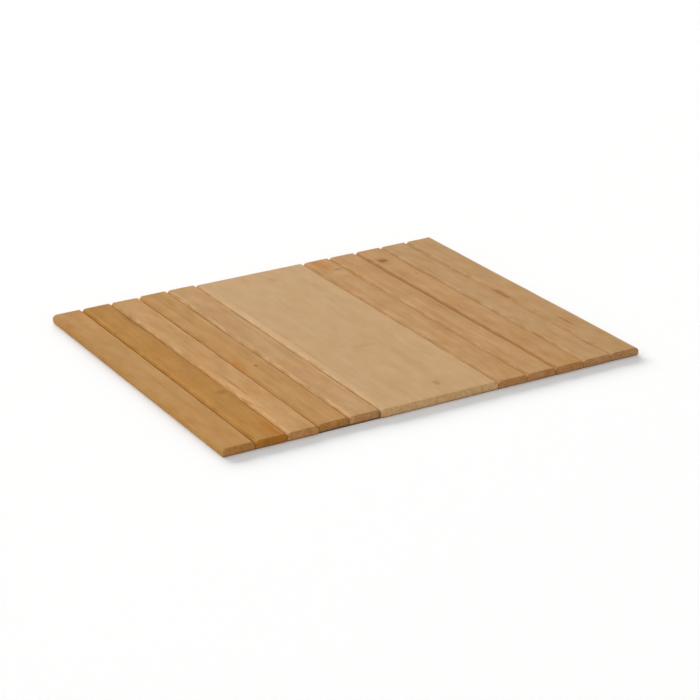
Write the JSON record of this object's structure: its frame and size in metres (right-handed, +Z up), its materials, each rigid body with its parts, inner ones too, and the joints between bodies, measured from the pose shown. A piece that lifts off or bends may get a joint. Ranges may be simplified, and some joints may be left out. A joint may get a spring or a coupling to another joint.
{
  "type": "slatted wooden mat",
  "caption": "Flat wooden mat: a wide centre panel with narrow bevelled slats on both sides, glued to a cloth backing that folds down between the boards.",
  "frame": {"origin": "middle of the mat's underside", "axes": "+X across the slats, +Y along the slats, +Z up out of the wooden face"},
  "size_m": [0.5306, 0.4524, 0.01],
  "materials": {
    "panel_wood": "satin",
    "slat_wood": "satin",
    "backing_cloth": "matte"
  },
  "bodies": {
    "centre": {"centre_panel": "panel_wood", "backing_centre": "backing_cloth"},
    "left_1": {"slat_left_1": "slat_wood", "backing_left_1": "backing_cloth"},
    "left_2": {"slat_left_2": "slat_wood", "backing_left_2": "backing_cloth"},
    "left_3": {"slat_left_3": "slat_wood", "backing_left_3": "backing_cloth"},
    "left_4": {"slat_left_4": "slat_wood", "backing_left_4": "backing_cloth"},
    "left_5": {"slat_left_5": "slat_wood", "backing_left_5": "backing_cloth"},
    "right_1": {"slat_right_1": "slat_wood", "backing_right_1": "backing_cloth"},
    "right_2": {"slat_right_2": "slat_wood", "backing_right_2": "backing_cloth"},
    "right_3": {"slat_right_3": "slat_wood", "backing_right_3": "backing_cloth"},
    "right_4": {"slat_right_4": "slat_wood", "backing_right_4": "backing_cloth"},
    "right_5": {"slat_right_5": "slat_wood", "backing_right_5": "backing_cloth"}
  },
  "joints": [
    {"name": "fold_left_1", "type": "hinge", "parent": "centre", "child": "left_1", "pos_m": [-0.075, 0, 0.0005], "axis": [0, 1, 0], "range_deg": [-90, 0]},
    {"name": "fold_left_2", "type": "hinge", "parent": "left_1", "child": "left_2", "pos_m": [-0.113, 0, 0.0005], "axis": [0, 1, 0], "range_deg": [-40, 0]},
    {"name": "fold_left_3", "type": "hinge", "parent": "left_2", "child": "left_3", "pos_m": [-0.151, 0, 0.0005], "axis": [0, 1, 0], "range_deg": [-40, 0]},
    {"name": "fold_left_4", "type": "hinge", "parent": "left_3", "child": "left_4", "pos_m": [-0.189, 0, 0.0005], "axis": [0, 1, 0], "range_deg": [-40, 0]},
    {"name": "fold_left_5", "type": "hinge", "parent": "left_4", "child": "left_5", "pos_m": [-0.227, 0, 0.0005], "axis": [0, 1, 0], "range_deg": [-40, 0]},
    {"name": "fold_right_1", "type": "hinge", "parent": "centre", "child": "right_1", "pos_m": [0.075, 0, 0.0005], "axis": [0, 1, 0], "range_deg": [0, 90]},
    {"name": "fold_right_2", "type": "hinge", "parent": "right_1", "child": "right_2", "pos_m": [0.113, 0, 0.0005], "axis": [0, 1, 0], "range_deg": [0, 40]},
    {"name": "fold_right_3", "type": "hinge", "parent": "right_2", "child": "right_3", "pos_m": [0.151, 0, 0.0005], "axis": [0, 1, 0], "range_deg": [0, 40]},
    {"name": "fold_right_4", "type": "hinge", "parent": "right_3", "child": "right_4", "pos_m": [0.189, 0, 0.0005], "axis": [0, 1, 0], "range_deg": [0, 40]},
    {"name": "fold_right_5", "type": "hinge", "parent": "right_4", "child": "right_5", "pos_m": [0.227, 0, 0.0005], "axis": [0, 1, 0], "range_deg": [0, 40]}
  ]
}
